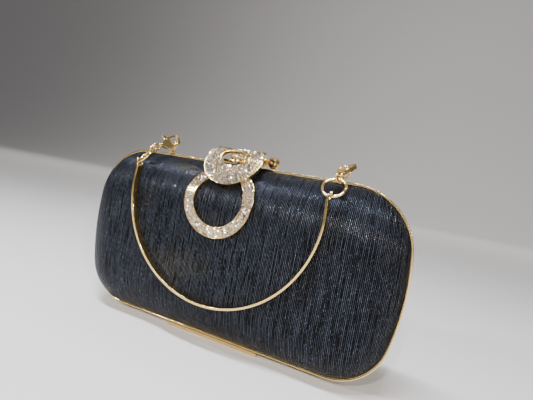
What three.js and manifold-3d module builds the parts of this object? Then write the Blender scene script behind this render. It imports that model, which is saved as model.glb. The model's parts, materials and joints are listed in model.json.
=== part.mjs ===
// Hard evening clutch: two fabric-covered shells in gilt frames, hinged along the bottom,
// with a kiss lock, a double-ring ornament and a half-round gilt handle on lobster clasps.
// Millimetres. X runs to the right seen from the front, Y to the back, Z up.
// The frames meet at y = 0 while the parts are built. The group then shifts to centre its box.
import * as THREE from "three";
import { mergeVertices } from "three/addons/utils/BufferGeometryUtils.js";
import Module from "manifold-3d";

// Driving dimensions of the case.
const WIDTH = 200; // across the frames
const HEIGHT = 99.5; // over the frames, top to bottom
const TOP_CORNER = 32.7; // outline radius of the two upper corners
const BOTTOM_CORNER = 29.5; // outline radius of the two lower corners
const SIDE_RADIUS = 139.8; // the sides bow outwards on this radius
const WIDEST_ABOVE_MIDDLE = 5; // the widest point sits this far above mid-height
const SHOULDER_RADIUS = 30; // the cover rolls from the rim to the flat face on this arc
const SHOULDER_LEAN = 25; // degrees between the cover and the Y axis at the parting plane
const COVER_TUCK = 0.41; // from the outline to where the cover would meet the parting plane

// Walls and clearances.
const CLEARANCE = 0.3; // glue line or air between two pieces
const COVER_WALL = 0.7;
const SHELL_WALL = 1.6;
const LINING_WALL = 0.5;
const PARTING_GAP = 0.3; // between the two closed frames
const LIP_WALL = 0.7; // the visible gilt edge
const LIP_REACH = 1.6; // from the parting plane
const WEB_WALL = 0.8; // the inner leg of the frame, which the shells are glued to
const WEB_REACH = 5.2; // from the outline inwards

// Bottom hinge.
const BARREL_RADIUS = 1.2;
const PIN_RADIUS = 0.6;
const BORE_RADIUS = 0.7;
const KNUCKLE_LENGTH = 11.7;
const KNUCKLES = 5;
const LEAF_WALL = 0.8;

// Slip pocket on the back lining.
const POCKET_WIDTH = 110;
const POCKET_MARGIN = 1.15; // above and below it to the edge of the flat face
const POCKET_WALL = 0.6;
const POCKET_ROOM = 1.2;

// Double-ring ornament.
const ARCH_HALF_WIDTH = 17.2; // of the round lower part of the arch ring
const ARCH_HALF_LENGTH = 16.4; // of the same part, down its bent path
const ARCH_MIDDLE = 15.2; // from the crest's back edge along the path to the round's centre
const ARCH_CREST_HALF_WIDTH = 15;
const ARCH_CREST_LENGTH = 6; // the sides run straight this far from the crest's back edge
const ARCH_WALL = 2;
const ARCH_HOLE_HALF_WIDTH = 8.6;
const ARCH_HOLE_HALF_LENGTH = 5.8;
const ARCH_HOLE_MIDDLE = 13.2; // along the path
const CREST_RISE = 8.7; // the ornament's crest over the top of the frames
// The arch ring's path over the frames and down the shoulder: Y, and Z from its crest.
const ARCH_PATH = [
  [1.6, -0.1],
  [-4.5, -0.6],
  [-8.6, -4],
  [-11.6, -8.4],
  [-14.5, -12.8],
  [-17.4, -17.8],
  [-19.3, -22.5],
];
const RING_OUTER_RADIUS = 20.9;
const RING_INNER_RADIUS = 14.8;
const RING_WALL = 2.2;
const RING_X = -0.6; // the lower ring sits this far off the arch ring's middle
const RING_DROP = 20.8; // from the top of the frames down to the ring's centre
const BRACKET_WIDTH = 19;
const BRACKET_DEPTH = 5.6;
const BOSS_RADIUS = 2.1;
const BOSS_LENGTH = 10;
const BOSS_X = -1; // the boss's middle
const BOSS_REACH = 2.9; // from the parting plane to the boss's axis
const BRACKET_RISE = 1.9; // the block's top over the frames
const NECK_WIDTH = 8; // of the web between the block and the boss
const NECK_WALL = 2;
const RIVET_RADIUS = 1.4;
const RIVET_X = [0.6, 5.4];
const RIVET_RISE = 1.1; // of the rivets' middle over the frames
const SHANK_RADIUS = 0.7;
const SHANK_LENGTH = 1;

// Kiss lock.
const BALL_RADIUS = 3.4;
const BALL_X = 19;
const BALL_RISE = 0.4; // the ball's underside over the frames
const BALL_BEHIND = 0.6; // the ball's middle behind the parting plane
const BLOCK_WIDTH = 3.9;
const BLOCK_HEIGHT = 5.6; // the block's top over its foot
const BLOCK_DEPTH = [-3.4, 1.2];
const BLOCK_RISE = 0.9; // the block's underside over its foot
const POST_RADIUS = 0.9;
const POST_HEIGHT = 1.6;
const POST_OFF = 0.2; // from the parting plane to the side of each post

// Handle and its rings.
const HANDLE_RADIUS = 57.8; // middle of the strip
const HANDLE_DRIFT = 1.8; // the band hangs this far to the right, in the play of its rings
const HANDLE_DROP = 19.2; // from the top of the frames down to the arc's centre
const HANDLE_PAST = 8.35; // degrees that the arc runs on above its centre
const STRIP_WALL = 1.3;
const STRIP_WIDTH = 4.4;
const STRIP_END = 2.8; // metal beyond the ring hole
const STRIP_HOLE = 1.7;
const O_RING_RADIUS = 5.65;
const O_WIRE = 0.8;
const JUMP_RADIUS = 2.7;
const JUMP_WIRE = 0.5;
const LINK_ROOM = O_WIRE + JUMP_WIRE + CLEARANCE; // how deep the links reach into each other
const FRAME_RING_RADIUS = 3.1;
const FRAME_RING_WIRE = 0.6;
const EYE_X = { left: -49.3, right: 58.6 };
const EYE_YAW = { left: -35, right: 0 };
const EYE_RISE = 1.6; // the hole of the eye over the frame
const EYE_HOLE = 1.3;
const EYE_RADIUS = 1.9;
const EYE_WALL = 0.8;
const EYE_FOOT_DEPTH = 1.4;
const RING_LEAN = 12; // degrees that the small frame rings lean to the right
const HOOKED_AT = { left: 98, right: 45 }; // degrees round the frame ring, from its right side
const PIVOT_X = { left: -54.4, right: 60 }; // where the O-rings turn, to the side
const PIVOT_REACH = 13.2; // and in front of the parting plane
const PIVOT_DROP = 0.1; // and under the top of the frames
const O_RING_SLOPE = 0.6283; // how far forward an O-ring hangs for its width

// Lobster clasps, drawn along their own +X from the hole of the tail eye.
const TAIL_RADIUS = 2.4;
const TAIL_HOLE = 1.6;
const TAIL_WALL = 1.1;
const CLASP_WALL = 2.4;
const HOOK_CENTRE = 11.3;
const HOOK_OUTER = [3.9, 3.5];
const HOOK_INNER = [2.3, 1.95];
const GATE_PIVOT = [7.2, 2.6];
const GATE_TIP = 13.5;
const GATE_PIN_RADIUS = 0.4;
const PIN_PLAY = 0.08;
const GATE_WALL = 1.1;
const MOUTH = [8.9, 1.1]; // where the hook's opening starts, along the clasp and off its axis
const SLOT_LENGTH = [5, 10]; // the gate's slot along the body
// The outline of the clasp's body and of its gate, the gate's measured from its pin.
const BODY_OUTLINE = [
  [2.1, -0.9], [3.4, -1.2], [5.2, -2.8], [8.2, -3.4], [9.7, -2.9], [9.7, 0.6],
  [9, 1.4], [8.9, 3.1], [6.2, 3.4], [4.6, 2.3], [3.4, 1.2], [2.1, 0.9],
];
const GATE_FOOT = [[-0.9, -0.6], [1, -0.4]];
const GATE_NIB = [[1.6, 1.5], [-0.2, 2.7], [-1.7, 3], [-1.5, 1.8]];
const GATE_TIP_RISE = [-0.2, 1]; // the lever's lower and upper side at its tip

// Places worked out from the sizes above.
const BARREL_CENTRE_Z = BARREL_RADIUS;
const CASE_BOTTOM = 2 * BARREL_RADIUS + CLEARANCE;
const MIDDLE_Z = CASE_BOTTOM + HEIGHT / 2;
const TOP_Z = CASE_BOTTOM + HEIGHT;
const HALF_GAP = PARTING_GAP / 2;
const ARC_CENTRE_Y = -SHOULDER_RADIUS * Math.sin(THREE.MathUtils.degToRad(SHOULDER_LEAN));
const FACE_DEPTH = SHOULDER_RADIUS + ARC_CENTRE_Y;
const COVER_START = HALF_GAP + WEB_WALL + CLEARANCE;
const SHOULDER_INSET =
  SHOULDER_RADIUS * Math.cos(THREE.MathUtils.degToRad(SHOULDER_LEAN)) + COVER_TUCK;
const POCKET_HEIGHT = HEIGHT - 2 * (SHOULDER_INSET + POCKET_MARGIN);
const STRIP_FRONT = PIVOT_REACH + 2 * O_RING_RADIUS * O_RING_SLOPE + STRIP_WIDTH / 2;

const wasm = await Module();
wasm.setup();

const radians = THREE.MathUtils.degToRad;
const vec = (x, y, z) => new THREE.Vector3(x, y, z);

const finishes = {
  lame: { color: 0x14151a, roughness: 0.55, metalness: 0.1 },
  board: { color: 0x2a2a2c, roughness: 0.8, metalness: 0 },
  satin: { color: 0x1d1c22, roughness: 0.6, metalness: 0 },
  gilt: { color: 0xe3c38a, roughness: 0.2, metalness: 1 },
  pave: { color: 0xe9e4da, roughness: 0.15, metalness: 0.6 },
  steel: { color: 0xb8b8b4, roughness: 0.3, metalness: 1 },
};

const part = new THREE.Group();

function add(name, geometry, finish) {
  const mesh = new THREE.Mesh(geometry, new THREE.MeshStandardMaterial(finishes[finish]));
  mesh.name = name;
  part.add(mesh);
  return mesh;
}

// A closed triangle mesh from points and faces, with its faces turned outwards.
function closed(points, faces) {
  const geometry = new THREE.BufferGeometry();
  let volume = 0;
  for (const [a, b, c] of faces) {
    volume += points[a].dot(vec(0, 0, 0).crossVectors(points[b], points[c]));
  }
  const index = faces.flatMap(([a, b, c]) => (volume < 0 ? [a, c, b] : [a, b, c]));
  geometry.setAttribute(
    "position",
    new THREE.Float32BufferAttribute(points.flatMap((p) => [p.x, p.y, p.z]), 3),
  );
  geometry.setIndex(index);
  return geometry;
}

// Skins a row of equal rings of points; a closed row joins its last ring to its first.
function skin(rings, isLoop) {
  const count = rings[0].length;
  const faces = [];
  const last = isLoop ? rings.length : rings.length - 1;
  for (let i = 0; i < last; i++) {
    const here = i * count;
    const next = ((i + 1) % rings.length) * count;
    for (let j = 0; j < count; j++) {
      const k = (j + 1) % count;
      faces.push([here + j, here + k, next + k], [here + j, next + k, next + j]);
    }
  }
  if (!isLoop) {
    const end = (rings.length - 1) * count;
    for (let j = 1; j < count - 1; j++) {
      faces.push([0, j + 1, j], [end, end + j, end + j + 1]);
    }
  }
  return closed(rings.flat(), faces);
}

// A geometry as a manifold-3d solid, for booleans.
function solid(geometry) {
  const bare = geometry.index ? geometry.toNonIndexed() : geometry.clone();
  bare.deleteAttribute("normal");
  bare.deleteAttribute("uv");
  const merged = mergeVertices(bare, 1e-4);
  return new wasm.Manifold(
    new wasm.Mesh({
      numProp: 3,
      vertProperties: merged.attributes.position.array,
      triVerts: new Uint32Array(merged.index.array),
    }),
  );
}

function geometryOf(manifold) {
  const { numProp, numVert, triVerts, vertProperties } = manifold.getMesh();
  const points = new Float32Array(numVert * 3);
  for (let i = 0; i < numVert; i++) {
    points.set(vertProperties.subarray(i * numProp, i * numProp + 3), i * 3);
  }
  const geometry = new THREE.BufferGeometry();
  geometry.setAttribute("position", new THREE.BufferAttribute(points, 3));
  geometry.setIndex(new THREE.BufferAttribute(triVerts, 1));
  return geometry;
}

function joined(...pieces) {
  return pieces.map(solid).reduce((whole, piece) => whole.add(piece));
}

// A cylinder whose axis runs along x, y or z through a place.
function rod(radius, length, along, [x, y, z], sides = 14) {
  const geometry = new THREE.CylinderGeometry(radius, radius, length, sides);
  if (along === "x") geometry.rotateZ(Math.PI / 2);
  if (along === "z") geometry.rotateX(Math.PI / 2);
  return geometry.translate(x, y, z);
}

function block([x0, x1], [y0, y1], [z0, z1]) {
  const geometry = new THREE.BoxGeometry(x1 - x0, y1 - y0, z1 - z0);
  return geometry.translate((x0 + x1) / 2, (y0 + y1) / 2, (z0 + z1) / 2);
}

function arc([cx, cz], radius, from, to, steps) {
  return Array.from({ length: steps + 1 }, (_, i) => {
    const angle = from + ((to - from) * i) / steps;
    return [cx + radius * Math.cos(angle), cz + radius * Math.sin(angle)];
  });
}

// The case outline, moved inwards by an inset, as [x, z] pairs round the middle of the case.
function outline(inset) {
  const sideX = WIDTH / 2 - SIDE_RADIUS;
  const corner = (radius, up) => {
    const z = up * (HEIGHT / 2 - radius);
    const x = sideX + SIDE_RADIUS - radius;
    const rise = z - WIDEST_ABOVE_MIDDLE;
    return { x: sideX + Math.sqrt((x - sideX) ** 2 - rise ** 2), z, rise };
  };
  const top = corner(TOP_CORNER, 1);
  const bottom = corner(BOTTOM_CORNER, -1);
  const topTurn = Math.atan2(top.rise, top.x - sideX);
  const bottomTurn = Math.atan2(bottom.rise, bottom.x - sideX);
  const right = [
    ...arc([bottom.x, bottom.z], BOTTOM_CORNER - inset, -Math.PI / 2, bottomTurn, 7),
    ...arc([sideX, WIDEST_ABOVE_MIDDLE], SIDE_RADIUS - inset, bottomTurn, topTurn, 4).slice(1, -1),
    ...arc([top.x, top.z], TOP_CORNER - inset, topTurn, Math.PI / 2, 8),
  ];
  const left = right.map(([x, z]) => [-x, z]).reverse();
  return [...right, ...left];
}

function ringAt(inset, y) {
  return outline(inset).map(([x, z]) => vec(x, y, MIDDLE_Z + z));
}

// Insets and depths of a surface that runs parallel to the cover, a distance under it.
function shoulder(under, start, steps) {
  const radius = SHOULDER_RADIUS - under;
  const first = Math.asin((start - ARC_CENTRE_Y) / radius);
  return Array.from({ length: steps + 1 }, (_, i) => {
    const angle = first + ((Math.PI / 2 - first) * i) / steps;
    return [SHOULDER_INSET - radius * Math.cos(angle), ARC_CENTRE_Y + radius * Math.sin(angle)];
  });
}

// A shell of the case between two parallel surfaces; side is -1 for the front, 1 for the back.
function caseShell(side, outerUnder, wall, start, steps) {
  const outer = shoulder(outerUnder, start, steps).map(([inset, y]) => ringAt(inset, side * y));
  const inner = shoulder(outerUnder + wall, start, steps).map(([s, y]) => ringAt(s, side * y));
  return skin([...outer.reverse(), ...inner], false);
}

// The gilt angle section that runs round one half: a lip over the cover's edge, and a web.
function rimFrame(side) {
  const section = [
    [0, HALF_GAP],
    [0, LIP_REACH],
    [LIP_WALL, LIP_REACH],
    [LIP_WALL, HALF_GAP + WEB_WALL],
    [WEB_REACH, HALF_GAP + WEB_WALL],
    [WEB_REACH, HALF_GAP],
  ];
  return skin(section.map(([inset, y]) => ringAt(inset, side * y)), true);
}

function halfCase(side, word) {
  const shellUnder = COVER_WALL + CLEARANCE;
  const liningUnder = shellUnder + SHELL_WALL + CLEARANCE;
  add(`${word}_frame`, rimFrame(side), "gilt");
  add(`${word}_cover`, caseShell(side, 0, COVER_WALL, COVER_START, 7), "lame");
  add(`${word}_shell`, caseShell(side, shellUnder, SHELL_WALL, COVER_START, 6), "board");
  add(`${word}_lining`, caseShell(side, liningUnder, LINING_WALL, COVER_START, 5), "satin");
}

// A flat pouch on the back lining: a panel with side and bottom welts, open at its top.
function slipPocket() {
  const liningUnder = COVER_WALL + SHELL_WALL + LINING_WALL + 2 * CLEARANCE;
  const back = FACE_DEPTH - liningUnder - CLEARANCE;
  const welt = 2;
  const x = POCKET_WIDTH / 2;
  const z = MIDDLE_Z - POCKET_HEIGHT / 2;
  const panelBack = back - POCKET_ROOM;
  const height = [z, z + POCKET_HEIGHT];
  const panel = block([-x, x], [panelBack - POCKET_WALL, panelBack], height);
  const lap = [panelBack - POCKET_WALL / 2, back];
  const left = block([-x, welt - x], lap, height);
  const right = block([x - welt, x], lap, height);
  const bottom = block([-x, x], lap, [z, z + welt]);
  add("slip_pocket", geometryOf(joined(panel, left, right, bottom)), "satin");
}

// One leaf of the bottom hinge: a strip soldered under its frame and every second knuckle.
function hingeLeaf(side, first) {
  const span = KNUCKLES * (KNUCKLE_LENGTH + CLEARANCE) - CLEARANCE;
  const z = [CASE_BOTTOM - CLEARANCE - LEAF_WALL, CASE_BOTTOM - CLEARANCE];
  const y = side < 0 ? [-LIP_REACH, -HALF_GAP] : [HALF_GAP, LIP_REACH];
  let leaf = solid(block([-span / 2, span / 2], y, z));
  for (let i = 0; i < KNUCKLES; i++) {
    const x = (i - (KNUCKLES - 1) / 2) * (KNUCKLE_LENGTH + CLEARANCE);
    const own = i % 2 === first;
    const place = [x, 0, BARREL_CENTRE_Z];
    if (own) {
      leaf = leaf.add(solid(rod(BARREL_RADIUS, KNUCKLE_LENGTH, "x", place, 16)));
    } else {
      const length = KNUCKLE_LENGTH + 2 * CLEARANCE;
      leaf = leaf.subtract(solid(rod(BARREL_RADIUS + CLEARANCE, length, "x", place, 16)));
    }
  }
  const bore = rod(BORE_RADIUS, span + 2, "x", [0, 0, BARREL_CENTRE_Z], 16);
  return geometryOf(leaf.subtract(solid(bore)));
}

function bottomHinge() {
  const span = KNUCKLES * (KNUCKLE_LENGTH + CLEARANCE) - CLEARANCE;
  add("back_hinge_leaf", hingeLeaf(1, 0), "gilt");
  add("front_hinge_leaf", hingeLeaf(-1, 1), "gilt");
  add("hinge_pin", rod(PIN_RADIUS, span, "x", [0, 0, BARREL_CENTRE_Z], 16), "steel");
}

// A curve in the Y-Z plane that carries a bent plate, with its inward normal at each length.
function bentPath(places) {
  const curve = new THREE.CatmullRomCurve3(places.map(([y, z]) => vec(0, y, z)));
  const length = curve.getLength();
  return (along, depth) => {
    const t = THREE.MathUtils.clamp(along / length, 0, 1);
    const point = curve.getPointAt(t);
    const run = curve.getTangentAt(t);
    const over = along - t * length;
    const inward = vec(0, -run.z, run.y);
    return point.addScaledVector(run, over).addScaledVector(inward, depth);
  };
}

// A plate ring laid along a bent path: outer and inner give [x, length along the path].
function bentRing(outer, inner, path, wall, around = 32, across = 3) {
  const sheet = (depth) =>
    Array.from({ length: across + 1 }, (_, i) =>
      Array.from({ length: around }, (_, j) => {
        const angle = (2 * Math.PI * j) / around;
        const [x0, u0] = inner(angle);
        const [x1, u1] = outer(angle);
        const share = i / across;
        const point = path(u0 + (u1 - u0) * share, depth);
        point.x = x0 + (x1 - x0) * share;
        return point;
      }),
    );
  return skin([...sheet(0), ...sheet(wall).reverse()], true);
}

// The saddle-shaped ring: straight along its crest, round below, with its hole near the crest.
function archRing() {
  const path = bentPath(ARCH_PATH.map(([y, z]) => [y, TOP_Z + CREST_RISE + z]));
  const outer = (angle) => {
    const x = ARCH_HALF_WIDTH * Math.cos(angle);
    const u = ARCH_MIDDLE - ARCH_HALF_LENGTH * Math.sin(angle);
    if (u > ARCH_CREST_LENGTH) return [x, u];
    // Spreads the crest's points evenly out to its corners.
    const reach = Math.min(1, 1.1 * Math.abs(Math.tan(Math.PI / 2 - angle)));
    return [Math.sign(x || 1) * ARCH_CREST_HALF_WIDTH * reach, Math.max(0, u)];
  };
  const inner = (angle) => [
    ARCH_HOLE_HALF_WIDTH * Math.cos(angle),
    ARCH_HOLE_MIDDLE - ARCH_HOLE_HALF_LENGTH * Math.sin(angle),
  ];
  return bentRing(outer, inner, path, ARCH_WALL, 40, 3);
}

// The plain ring below it: flat on the face, bending back with the shoulder above.
function lowerRing() {
  const bend = SHOULDER_RADIUS + CLEARANCE + RING_WALL;
  const turnZ = TOP_Z - SHOULDER_INSET;
  const centreZ = TOP_Z - RING_DROP;
  const path = (along, depth) => {
    const radius = bend - depth;
    const angle = Math.max(0, along) / bend;
    const z = turnZ + Math.min(0, along) + radius * Math.sin(angle);
    return vec(0, -ARC_CENTRE_Y - radius * Math.cos(angle), z);
  };
  const edge = (radius) => (angle) => [
    RING_X + radius * Math.cos(angle),
    centreZ - turnZ + radius * Math.sin(angle),
  ];
  return bentRing(edge(RING_OUTER_RADIUS), edge(RING_INNER_RADIUS), path, RING_WALL, 36, 2);
}

// What the ornament is soldered to: a block on the front frame with a round boss under the crest.
function claspBracket() {
  const half = BRACKET_WIDTH / 2;
  const rise = [TOP_Z + CLEARANCE, TOP_Z + BRACKET_RISE];
  const foot = block([-half, half], [-BRACKET_DEPTH, -HALF_GAP], rise);
  const bossZ = TOP_Z + CREST_RISE - ARCH_WALL - 2 * CLEARANCE - BOSS_RADIUS;
  const boss = rod(BOSS_RADIUS, BOSS_LENGTH, "x", [BOSS_X, -BOSS_REACH, bossZ], 16);
  const across = [BOSS_X - NECK_WIDTH / 2, BOSS_X + NECK_WIDTH / 2];
  const through = [-BOSS_REACH - NECK_WALL / 2, -BOSS_REACH + NECK_WALL / 2];
  const neck = block(across, through, [TOP_Z + BRACKET_RISE / 2, bossZ]);
  return geometryOf(joined(foot, boss, neck));
}

// A round-headed gilt rivet in the bracket's front edge.
function rivet(name, x) {
  const z = TOP_Z + RIVET_RISE;
  const front = -BRACKET_DEPTH - CLEARANCE;
  const head = new THREE.SphereGeometry(RIVET_RADIUS, 12, 8).translate(x, front - RIVET_RADIUS, z);
  const shank = rod(SHANK_RADIUS, SHANK_LENGTH, "y", [x, front - SHANK_LENGTH / 2, z], 10);
  add(name, geometryOf(joined(head, shank)), "gilt");
}

function ornament() {
  add("arch_ring", archRing(), "pave");
  add("lower_ring", lowerRing(), "pave");
  add("clasp_bracket", claspBracket(), "gilt");
  rivet("bracket_rivet_left", RIVET_X[0]);
  rivet("bracket_rivet_right", RIVET_X[1]);
}

// Kiss lock: a ball on the back frame and a block on the front one snap past each other.
function kissLock() {
  const bottom = TOP_Z + CLEARANCE;
  const postZ = bottom + POST_HEIGHT / 2;
  const post = (x, y) => rod(POST_RADIUS, POST_HEIGHT, "z", [x, y, postZ]);
  const ball = new THREE.SphereGeometry(BALL_RADIUS, 18, 12);
  ball.translate(BALL_X, BALL_BEHIND, TOP_Z + BALL_RISE + BALL_RADIUS);
  const backFoot = post(BALL_X, POST_OFF + POST_RADIUS);
  add("back_kiss_stud", geometryOf(joined(ball, backFoot)), "gilt");
  const right = BALL_X - BALL_RADIUS - CLEARANCE;
  const x = [right - BLOCK_WIDTH, right];
  const stud = block(x, BLOCK_DEPTH, [bottom + BLOCK_RISE, bottom + BLOCK_HEIGHT]);
  const frontFoot = post(right - BLOCK_WIDTH / 2, -POST_OFF - POST_RADIUS);
  add("front_kiss_stud", geometryOf(joined(stud, frontFoot)), "gilt");
}

// A torus whose plane holds two directions at right angles.
function wireRing(centre, axisA, axisB, radius, wire, around = 24, across = 8) {
  const geometry = new THREE.TorusGeometry(radius, wire, across, around);
  const normal = vec(0, 0, 0).crossVectors(axisA, axisB).normalize();
  const placed = new THREE.Matrix4().makeBasis(axisA, axisB, normal).setPosition(centre);
  return geometry.applyMatrix4(placed);
}

// The part of a direction that is square to another, at unit length.
function squareTo(direction, fixed) {
  return direction.clone().addScaledVector(fixed, -direction.dot(fixed)).normalize();
}

const unit = (x, y, z) => vec(x, y, z).normalize();

// Directions along each chain: up the O-ring, along the jump ring, across the O-ring,
// and the way the lobster clasp faces.
const chain = {
  left: {
    up: unit(0.146, 0.631, 0.757),
    on: unit(0.16, 0.76, 0.63),
    across: unit(0.86, -0.47, 0.2),
    face: unit(0.747, -0.583, 0.321),
  },
  right: {
    up: unit(0.03, 0.64, 0.767),
    on: unit(0.08, 0.7, 0.71),
    across: unit(1, 0, 0),
    face: unit(-0.42, -0.32, 0.848),
  },
};
function pivotOf(side) {
  return vec(PIVOT_X[side], -PIVOT_REACH, TOP_Z - PIVOT_DROP);
}

// The hole in the handle's end hangs at the far side of the O-ring.
function stripHoleOf(side) {
  return pivotOf(side).addScaledVector(chain[side].up, -2 * O_RING_RADIUS);
}

function tailOf(side) {
  return pivotOf(side).addScaledVector(chain[side].on, 2 * JUMP_RADIUS - LINK_ROOM);
}

// The small ring through its eye on the front frame, leaning a little to the right.
function frameRing(side) {
  const yaw = radians(EYE_YAW[side]);
  const along = vec(Math.cos(yaw), Math.sin(yaw), 0);
  const hole = vec(EYE_X[side], -HALF_GAP - WEB_WALL, TOP_Z + EYE_RISE);
  const lean = radians(RING_LEAN);
  const centre = hole
    .clone()
    .addScaledVector(along, FRAME_RING_RADIUS * Math.sin(lean))
    .addScaledVector(vec(0, 0, 1), FRAME_RING_RADIUS * Math.cos(lean));
  return { hole, along, centre };
}

// A standing disc with a hole, its foot cut level with the frame.
function anchorEye(side) {
  const { hole, along } = frameRing(side);
  const disc = rod(EYE_RADIUS, EYE_WALL, "x", [0, 0, 0], 16);
  const bore = rod(EYE_HOLE, EYE_WALL + 1, "x", [0, 0, 0], 16);
  const placed = new THREE.Matrix4().makeBasis(along, vec(-along.y, along.x, 0), vec(0, 0, 1));
  placed.setPosition(hole);
  const eye = solid(disc).subtract(solid(bore));
  const footDepth = [-EYE_FOOT_DEPTH / 2, EYE_FOOT_DEPTH / 2];
  const foot = block([-EYE_WALL / 2, EYE_WALL / 2], footDepth, [-EYE_RISE, -EYE_HOLE]);
  const upright = geometryOf(eye.add(solid(foot))).applyMatrix4(placed);
  const span = 2 * EYE_RADIUS;
  const below = block(
    [hole.x - span, hole.x + span],
    [hole.y - span, hole.y + span],
    [TOP_Z - span, TOP_Z + CLEARANCE],
  );
  add(`${side}_anchor_eye`, geometryOf(solid(upright).subtract(solid(below))), "gilt");
}

// Where the clasp's hook holds the frame ring: on its upper side.
function hookPlaceOf(side) {
  const { along, centre } = frameRing(side);
  const angle = radians(HOOKED_AT[side]);
  return centre
    .clone()
    .addScaledVector(along, FRAME_RING_RADIUS * Math.cos(angle))
    .addScaledVector(vec(0, 0, 1), FRAME_RING_RADIUS * Math.sin(angle));
}

function ellipse([rx, ry], [cx, cy], steps = 24) {
  return Array.from({ length: steps }, (_, i) => {
    const angle = (2 * Math.PI * i) / steps;
    return new THREE.Vector2(cx + rx * Math.cos(angle), cy + ry * Math.sin(angle));
  });
}

function slab(points, wall) {
  const shape = new THREE.Shape(points);
  const geometry = new THREE.ExtrudeGeometry(shape, { depth: wall, bevelEnabled: false });
  return solid(geometry.translate(0, 0, -wall / 2));
}

const flat = (pairs) => pairs.map(([x, y]) => new THREE.Vector2(x, y));

function gateBore() {
  return solid(rod(GATE_PIN_RADIUS + PIN_PLAY, 2 * CLASP_WALL, "z", [...GATE_PIVOT, 0], 12));
}

// Tail eye, body and open hook, in the clasp's own plane.
function claspBody() {
  const tail = slab(ellipse([TAIL_RADIUS, TAIL_RADIUS], [0, 0], 18), TAIL_WALL);
  const tailHole = slab(ellipse([TAIL_HOLE, TAIL_HOLE], [0, 0], 14), 2 * CLASP_WALL);
  const body = slab(flat(BODY_OUTLINE), CLASP_WALL);
  const hook = slab(ellipse(HOOK_OUTER, [HOOK_CENTRE, 0]), CLASP_WALL);
  const opening = slab(ellipse(HOOK_INNER, [HOOK_CENTRE, 0], 20), 2 * CLASP_WALL);
  const above = [MOUTH[1], MOUTH[1] + HOOK_OUTER[0]];
  const through = [-CLASP_WALL, CLASP_WALL];
  const mouth = solid(block([MOUTH[0], GATE_TIP + CLEARANCE], above, through));
  const half = GATE_WALL / 2 + CLEARANCE;
  const slot = solid(block(SLOT_LENGTH, above, [-half, half]));
  const shape = tail.add(body).add(hook.subtract(mouth));
  return shape.subtract(tailHole).subtract(opening).subtract(slot).subtract(gateBore());
}

// The sprung gate: a lever that closes the hook, with a thumb nib behind its pin.
function claspGate() {
  const [px, py] = GATE_PIVOT;
  const tip = GATE_TIP_RISE.map((rise) => [GATE_TIP - px, rise]);
  const lever = [...GATE_FOOT, ...tip, ...GATE_NIB].map(([x, y]) => [px + x, py + y]);
  return slab(flat(lever), GATE_WALL).subtract(gateBore());
}

function lobsterClasp(side) {
  const tail = tailOf(side);
  const along = hookPlaceOf(side).sub(tail).normalize();
  const normal = squareTo(chain[side].face, along);
  const across = vec(0, 0, 0).crossVectors(normal, along);
  const placed = new THREE.Matrix4().makeBasis(along, across, normal).setPosition(tail);
  const at = (manifold) => geometryOf(manifold).applyMatrix4(placed);
  add(`${side}_clasp_body`, at(claspBody()), "gilt");
  add(`${side}_clasp_gate`, at(claspGate()), "gilt");
  const pin = rod(GATE_PIN_RADIUS, CLASP_WALL, "z", [...GATE_PIVOT, 0], 12);
  add(`${side}_gate_pin`, at(solid(pin)), "steel");
}

function links(side) {
  const { up, on, across, face } = chain[side];
  const pivot = pivotOf(side);
  const { along, centre } = frameRing(side);
  const frameLoop = wireRing(centre, along, vec(0, 0, 1), FRAME_RING_RADIUS, FRAME_RING_WIRE, 20);
  add(`${side}_frame_ring`, frameLoop, "gilt");
  // The jump ring stands between the planes of the O-ring and of the clasp's tail.
  const jumpCentre = pivot.clone().addScaledVector(on, JUMP_RADIUS - LINK_ROOM);
  const ringAxis = vec(0, 0, 0).crossVectors(up, across).normalize();
  if (ringAxis.dot(face) > 0) ringAxis.negate();
  const turned = squareTo(face.clone().sub(ringAxis), on);
  add(`${side}_jump_ring`, wireRing(jumpCentre, on, turned, JUMP_RADIUS, JUMP_WIRE, 18), "gilt");
  const ringCentre = pivot.clone().addScaledVector(up, -O_RING_RADIUS);
  const sideways = squareTo(across, up);
  add(`${side}_o_ring`, wireRing(ringCentre, up, sideways, O_RING_RADIUS, O_WIRE, 28), "gilt");
}

// The flat strip bent to a half round, with a hole in each end for its O-ring.
function handleBand() {
  const centreZ = TOP_Z - HANDLE_DROP;
  const past = radians(HANDLE_PAST);
  const holes = ["left", "right"].map(stripHoleOf);
  const turn = arc([HANDLE_DRIFT, centreZ], HANDLE_RADIUS, -Math.PI - past, past, 44);
  const ends = holes.map(({ x, z }, i) => {
    const [ax, az] = turn[i * (turn.length - 1)];
    const run = new THREE.Vector2(x - ax, z - az);
    run.setLength(run.length() + STRIP_END);
    return [ax + run.x, az + run.y];
  });
  const middle = [ends[0], ...turn, ends[1]];
  const edge = (offset) =>
    middle.map(([x, z], i) => {
      const [px, pz] = middle[Math.max(0, i - 1)];
      const [nx, nz] = middle[Math.min(middle.length - 1, i + 1)];
      const square = new THREE.Vector2(pz - nz, nx - px).setLength(offset);
      return new THREE.Vector2(x + square.x, z + square.y);
    });
  const shape = new THREE.Shape([...edge(STRIP_WALL / 2), ...edge(-STRIP_WALL / 2).reverse()]);
  const strip = new THREE.ExtrudeGeometry(shape, { depth: STRIP_WIDTH, bevelEnabled: false });
  strip.rotateX(Math.PI / 2).translate(0, STRIP_WIDTH - STRIP_FRONT, 0);
  const bores = holes.map(({ x, y, z }) => solid(rod(STRIP_HOLE, 6, "x", [x, y, z], 16)));
  return geometryOf(solid(strip).subtract(bores[0]).subtract(bores[1]));
}

halfCase(1, "back");
halfCase(-1, "front");
slipPocket();
bottomHinge();
ornament();
kissLock();
for (const side of ["left", "right"]) {
  anchorEye(side);
  lobsterClasp(side);
  links(side);
}
add("handle", handleBand(), "gilt");

// Puts the origin under the middle of the whole object's box.
part.position.y = (STRIP_FRONT - FACE_DEPTH) / 2;

export default part;
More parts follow.
